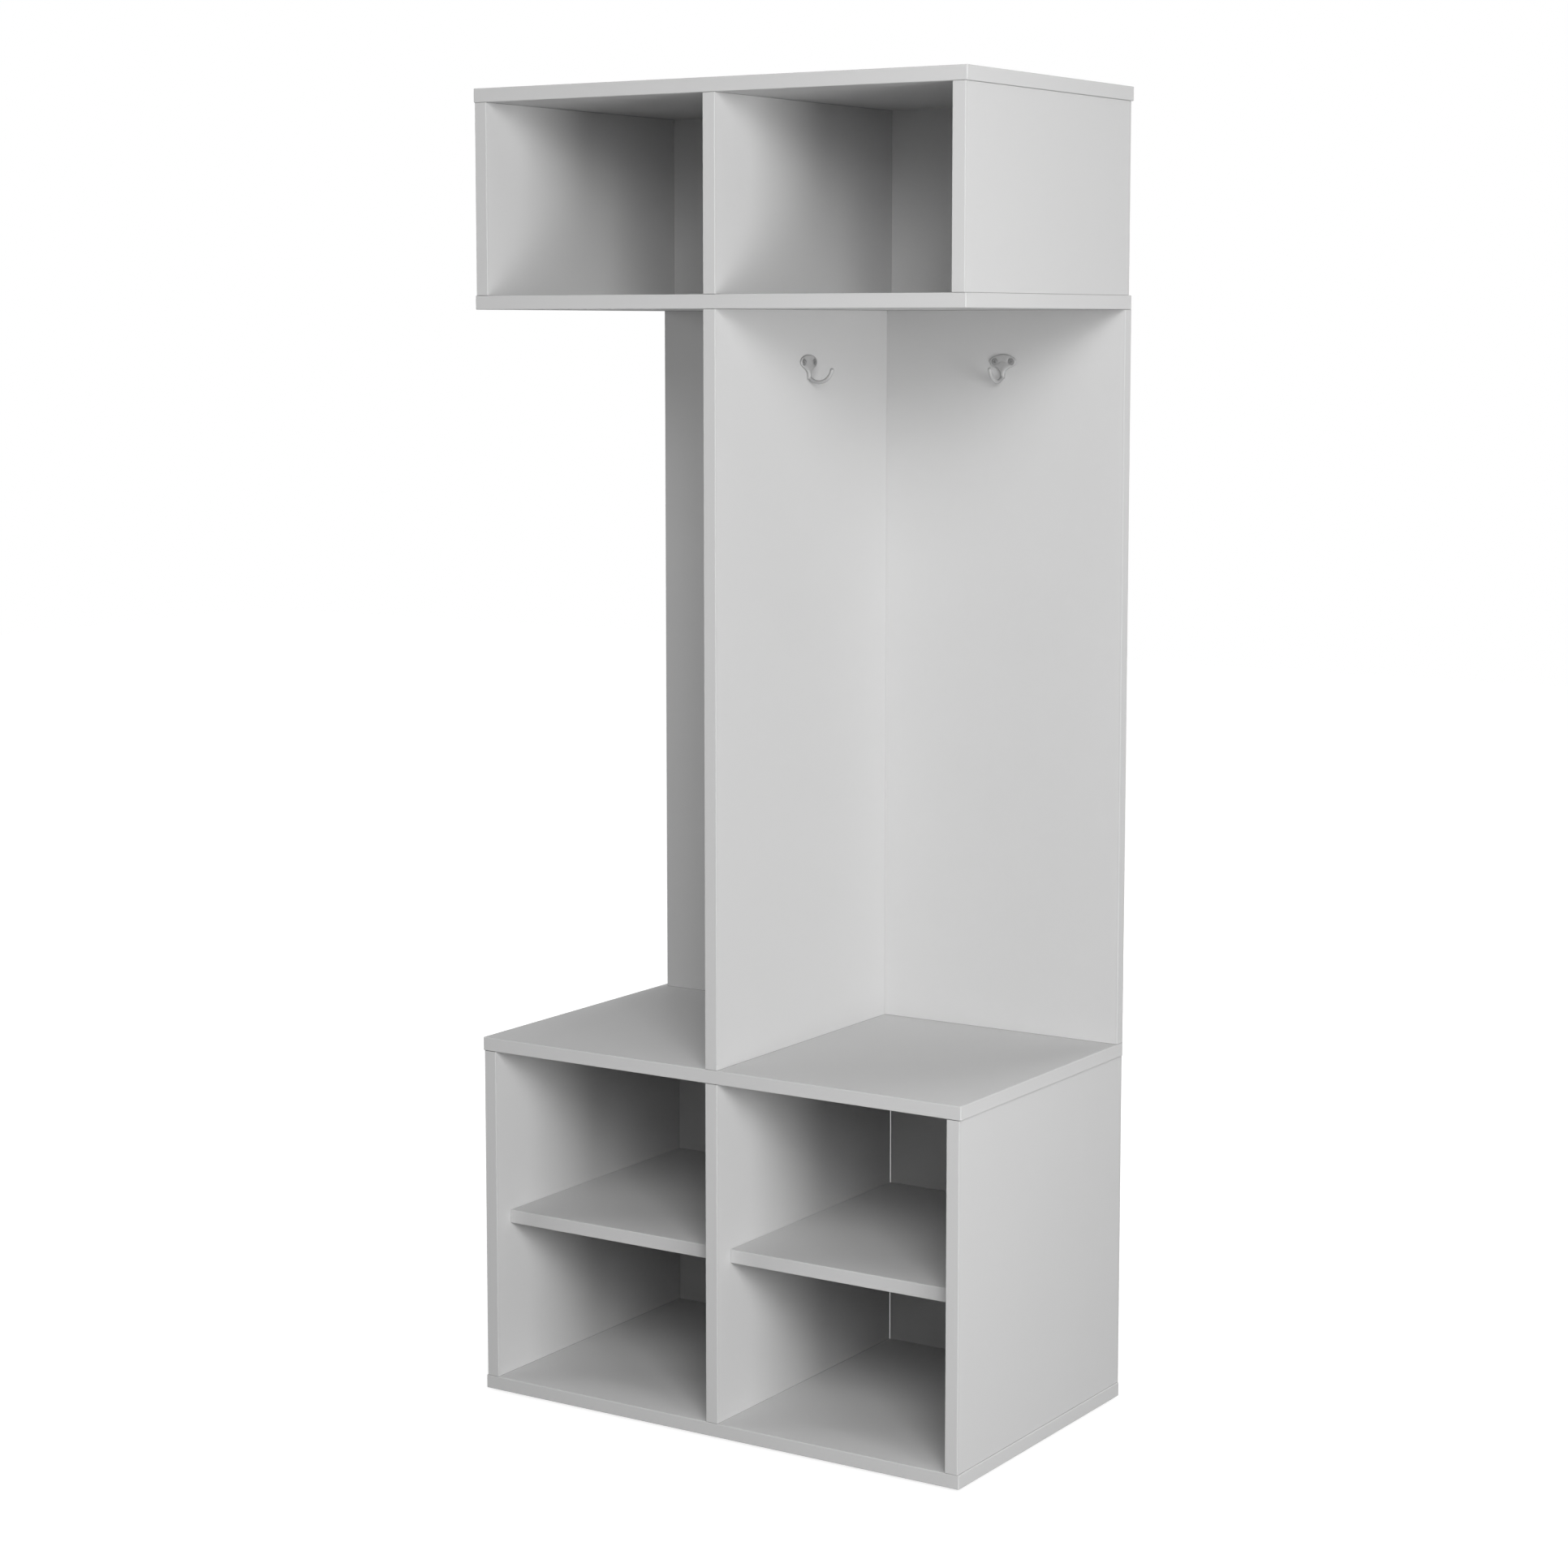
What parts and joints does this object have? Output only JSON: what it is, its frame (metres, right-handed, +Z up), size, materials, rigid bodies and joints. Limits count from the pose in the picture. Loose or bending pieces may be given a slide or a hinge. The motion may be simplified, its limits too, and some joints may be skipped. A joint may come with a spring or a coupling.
{
  "type": "hall tree with hooks",
  "caption": "Free-standing hall tree of edged board: a bench with open shoe compartments, a coat section with hooks on divider and back, and an open cupboard on top.",
  "frame": {"origin": "on the floor, under the middle of the outer size", "axes": "+Z up, +X to the right seen from the front, +Y from the open front to the back"},
  "size_m": [0.727, 0.43, 1.7186],
  "materials": {
    "board": "light grey melamine face with a fine pore, satin",
    "thin_back": "light grey lacquered hardboard, satin",
    "hook_metal": "satin nickel over a casting",
    "screw_steel": "bright zinc",
    "glide_plastic": "moulded grey plastic"
  },
  "bodies": {
    "cabinet": {"base_panel": "board", "lower_left_side": "board", "lower_divider": "board", "lower_right_side": "board", "seat_panel": "board", "lower_back_left": "thin_back", "lower_back_right": "thin_back", "tall_divider": "board", "coat_back_panel": "board", "cupboard_floor": "board", "upper_left_side": "board", "upper_divider": "board", "upper_right_side": "board", "top_panel": "board", "upper_back": "thin_back", "shelf_pin_left_bay_left_front": "screw_steel", "shelf_pin_left_bay_left_rear": "screw_steel", "shelf_pin_left_bay_right_front": "screw_steel", "shelf_pin_left_bay_right_rear": "screw_steel", "shelf_pin_right_bay_left_front": "screw_steel", "shelf_pin_right_bay_left_rear": "screw_steel", "shelf_pin_right_bay_right_front": "screw_steel", "shelf_pin_right_bay_right_rear": "screw_steel", "divider_hook_right": "hook_metal", "divider_hook_right_screw_a": "screw_steel", "divider_hook_right_screw_b": "screw_steel", "divider_hook_left": "hook_metal", "divider_hook_left_screw_a": "screw_steel", "divider_hook_left_screw_b": "screw_steel", "back_hook_right": "hook_metal", "back_hook_right_screw_a": "screw_steel", "back_hook_right_screw_b": "screw_steel", "back_hook_left": "hook_metal", "back_hook_left_screw_a": "screw_steel", "back_hook_left_screw_b": "screw_steel", "top_screw_left_front": "screw_steel", "top_screw_left_rear": "screw_steel", "top_screw_middle_front": "screw_steel", "top_screw_middle_rear": "screw_steel", "top_screw_right_front": "screw_steel", "top_screw_right_rear": "screw_steel", "base_screw_left_front": "screw_steel", "base_screw_left_rear": "screw_steel", "base_screw_middle_front": "screw_steel", "base_screw_middle_rear": "screw_steel", "base_screw_right_front": "screw_steel", "base_screw_right_rear": "screw_steel", "coat_back_screw_low": "screw_steel", "coat_back_screw_middle": "screw_steel", "coat_back_screw_high": "screw_steel", "glide_left_front": "glide_plastic", "glide_left_rear": "glide_plastic", "glide_middle_front": "glide_plastic", "glide_middle_rear": "glide_plastic", "glide_right_front": "glide_plastic", "glide_right_rear": "glide_plastic"},
    "left_shelf": {"left_shelf": "board"},
    "right_shelf": {"right_shelf": "board"}
  },
  "joints": [
    {"name": "left_shelf_slide", "type": "slide", "parent": "cabinet", "child": "left_shelf", "axis": [0, -1, 0], "range_m": [0, 0.45]},
    {"name": "right_shelf_slide", "type": "slide", "parent": "cabinet", "child": "right_shelf", "axis": [0, -1, 0], "range_m": [0, 0.45]}
  ]
}
